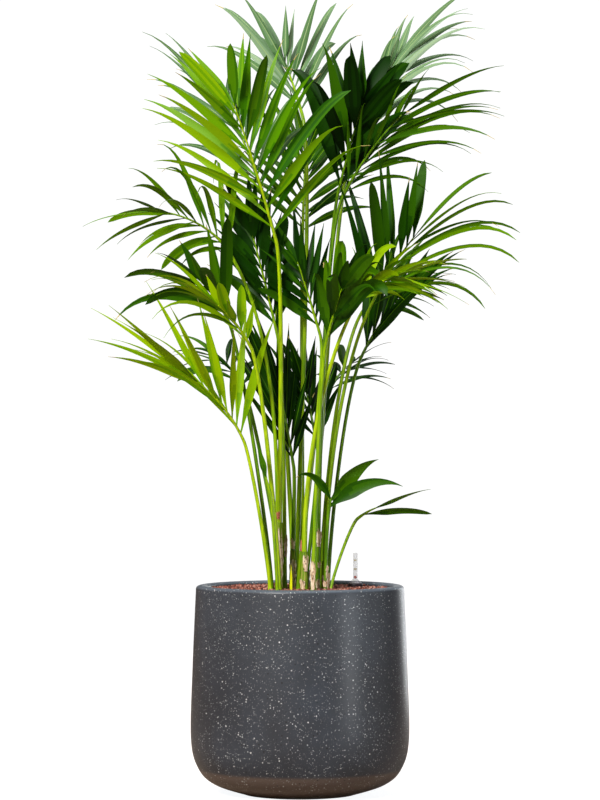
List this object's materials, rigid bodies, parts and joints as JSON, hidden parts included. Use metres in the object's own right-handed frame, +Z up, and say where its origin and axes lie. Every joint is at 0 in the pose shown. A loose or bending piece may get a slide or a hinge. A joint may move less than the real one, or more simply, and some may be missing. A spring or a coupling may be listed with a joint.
{
  "type": "potted kentia palm",
  "caption": "Indoor palm of arching feather fronds on slender upright stalks, clumped in a speckled dark round planter of clay granules with a water gauge.",
  "frame": {"origin": "centre of the planter's flat underside, at floor level", "axes": "+Z up along the planter's axis to the crown, +X to the right and +Y away from the viewer as pictured"},
  "size_m": [0.6952, 0.4721, 1.3096],
  "materials": {
    "planter_composite": "satin anthracite with fine pale specks",
    "clay_granules": "rough, dull, red-brown grains",
    "gauge_plastic": "smooth clear plastic",
    "sheath_fibre": "dry papery fibre",
    "petiole_green": "smooth yellow-green, satin",
    "leaf_bright": "satin leaf, ribbed lengthwise",
    "leaf_mid": "satin leaf, ribbed lengthwise",
    "leaf_dark": "glossy dark leaf, ribbed lengthwise",
    "leaf_grey": "greyish satin leaf, ribbed lengthwise"
  },
  "bodies": {
    "root": {"pot": "planter_composite", "clay_granules": "clay_granules", "gauge_foot": "gauge_plastic", "gauge_tube": "gauge_plastic", "shoot": "petiole_green", "stem_left": "sheath_fibre", "stem_middle": "sheath_fibre", "stem_front": "sheath_fibre", "stem_right": "sheath_fibre", "stem_edge": "sheath_fibre", "petiole_front_tall": "petiole_green", "frond_front_tall": "leaf_bright", "petiole_front_small": "petiole_green", "frond_front_small": "leaf_bright", "petiole_upper_right": "petiole_green", "frond_upper_right": "leaf_dark", "petiole_right_mid": "petiole_green", "frond_right_mid": "leaf_mid", "petiole_left_low": "petiole_green", "frond_left_low": "leaf_bright", "petiole_left_arch": "petiole_green", "frond_left_arch": "leaf_mid", "petiole_left_wide": "petiole_green", "frond_left_wide": "leaf_dark", "petiole_right_sweep": "petiole_green", "frond_right_sweep": "leaf_dark", "petiole_centre_right": "petiole_green", "frond_centre_right": "leaf_mid", "petiole_right_bow": "petiole_green", "frond_right_bow": "leaf_bright", "petiole_inner_left": "petiole_green", "frond_inner_left": "leaf_mid", "petiole_inner_right": "petiole_green", "frond_inner_right": "leaf_mid", "petiole_centre_low_left": "petiole_green", "frond_centre_low_left": "leaf_dark", "petiole_centre_low_right": "petiole_green", "frond_centre_low_right": "leaf_dark", "petiole_right_low": "petiole_green", "frond_right_low": "leaf_dark", "petiole_upper_left_back": "petiole_green", "frond_upper_left_back": "leaf_grey", "petiole_top_back": "petiole_green", "frond_top_back": "leaf_grey", "petiole_upper_right_back": "petiole_green", "frond_upper_right_back": "leaf_grey", "petiole_right_arch": "petiole_green", "frond_right_arch": "leaf_mid", "petiole_rear_high": "petiole_green", "frond_rear_high": "leaf_mid", "petiole_rear_left_low": "petiole_green", "frond_rear_left_low": "leaf_dark", "petiole_rear_right_low": "petiole_green", "frond_rear_right_low": "leaf_dark", "petiole_seedling_fork": "petiole_green", "frond_seedling_fork": "leaf_dark", "petiole_seedling_right": "petiole_green", "frond_seedling_right": "leaf_mid", "petiole_spear": "petiole_green", "frond_spear": "leaf_mid"}
  },
  "joints": []
}
